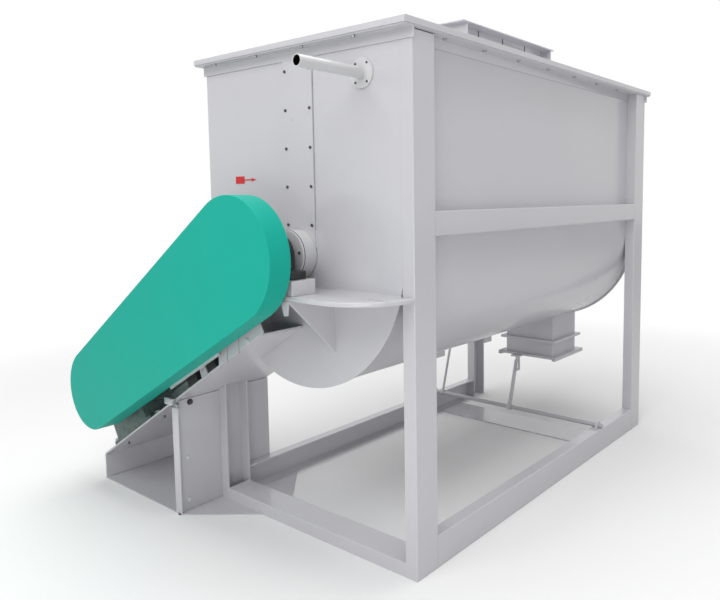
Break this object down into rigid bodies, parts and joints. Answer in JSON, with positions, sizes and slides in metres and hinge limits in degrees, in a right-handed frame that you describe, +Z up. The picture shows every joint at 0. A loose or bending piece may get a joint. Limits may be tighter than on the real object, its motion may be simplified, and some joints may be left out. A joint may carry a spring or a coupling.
{
  "type": "double screw feed mixer",
  "caption": "Horizontal ribbon feed mixer: U-shaped trough in a channel steel frame, chain drive under a deep guard, lid with filling collar, slide gate outlet.",
  "frame": {"origin": "middle of the machine's overall footprint, on the floor", "axes": "+Z up, +Y from the driven end to the far end along the shaft, +X to the side seen at the right of the picture"},
  "size_m": [1.8277, 2.624, 2.085],
  "materials": {
    "frame_paint": "cool grey-white gloss paint",
    "white_paint": "white gloss paint",
    "guard_paint": "teal green gloss paint",
    "black_iron": "black enamelled casting",
    "bearing_steel": "ground bearing steel",
    "shaft_steel": "turned steel",
    "ribbon_steel": "rolled steel, ground by use",
    "sprocket_iron": "oiled steel",
    "chain_steel": "oiled roller chain",
    "motor_green": "grey-green machine enamel",
    "cowl_black": "black painted sheet",
    "zinc_bolts": "zinc plated",
    "red_label": "red film",
    "rod_steel": "grey-white paint"
  },
  "bodies": {
    "machine": {"base_rail_front": "frame_paint", "base_rail_left": "frame_paint", "base_rail_right": "frame_paint", "bearing_shelf_front": "frame_paint", "bearing_shelf_rear": "frame_paint", "bearing_spacers": "white_paint", "chain_guard": "guard_paint", "corner_plate": "frame_paint", "cover_strips": "frame_paint", "cross_plate": "frame_paint", "drive_chain": "chain_steel", "end_plate_front": "frame_paint", "end_plate_rear": "frame_paint", "fan_cowl": "cowl_black", "gate_guides": "frame_paint", "gearbox_case": "motor_green", "guard_rail": "frame_paint", "inlet_collar": "frame_paint", "leg_front_left": "frame_paint", "leg_front_right": "frame_paint", "leg_rear_left": "frame_paint", "leg_rear_right": "frame_paint", "lid_cover": "frame_paint", "lid_nuts": "zinc_bolts", "liquid_pipe": "white_paint", "middle_rail_left": "frame_paint", "middle_rail_right": "frame_paint", "motor_case": "motor_green", "motor_plate": "frame_paint", "outlet_chute": "frame_paint", "outlet_spout": "frame_paint", "pillow_block_front": "black_iron", "pillow_block_rear": "black_iron", "pillow_bolts": "black_iron", "rim_frame": "frame_paint", "rock_brackets": "frame_paint", "seal_housing_front": "white_paint", "seal_housing_rear": "white_paint", "shelf_gussets": "frame_paint", "stand_cheek_front": "frame_paint", "stand_cheek_rear": "frame_paint", "stand_floor_plate": "frame_paint", "stand_left_wall": "frame_paint", "strip_bolts": "zinc_bolts", "trough_lugs": "frame_paint", "trough_shell": "frame_paint", "turning_arrow": "red_label"},
    "rotor": {"main_shaft": "shaft_steel", "ribbon_spokes": "ribbon_steel", "outer_ribbon": "ribbon_steel", "inner_ribbon": "ribbon_steel", "big_sprocket": "sprocket_iron", "bearing_ring_front": "bearing_steel", "bearing_ring_rear": "bearing_steel"},
    "motor_output": {"small_sprocket": "sprocket_iron", "output_shaft": "shaft_steel"},
    "gate": {"slide_gate": "frame_paint"},
    "gate_lever": {"rock_shaft": "rod_steel", "gate_arm": "frame_paint", "hand_lever": "rod_steel"}
  },
  "joints": [
    {"name": "rotor_spin", "type": "hinge", "parent": "machine", "child": "rotor", "pos_m": [0.33291, 0.048, 1.126], "axis": [0, 1, 0], "continuous": true, "deforming": ["drive_chain"]},
    {"name": "output_spin", "type": "hinge", "parent": "machine", "child": "motor_output", "pos_m": [-0.73491, -1.267, 0.48186], "axis": [0, 1, 0], "continuous": true},
    {"name": "lever_swing", "type": "hinge", "parent": "machine", "child": "gate_lever", "pos_m": [0.33291, 0.563, 0.1313], "axis": [1, 0, 0], "range_deg": [0, 50]},
    {"name": "gate_slide", "type": "slide", "parent": "machine", "child": "gate", "axis": [0, -1, 0], "range_m": [0, 0.2211]}
  ],
  "couplings": [
    {"joint": "output_spin", "follows": "rotor_spin", "ratio": 1.3043},
    {"joint": "gate_slide", "follows": "lever_swing", "m_per_rad": 0.25325}
  ]
}
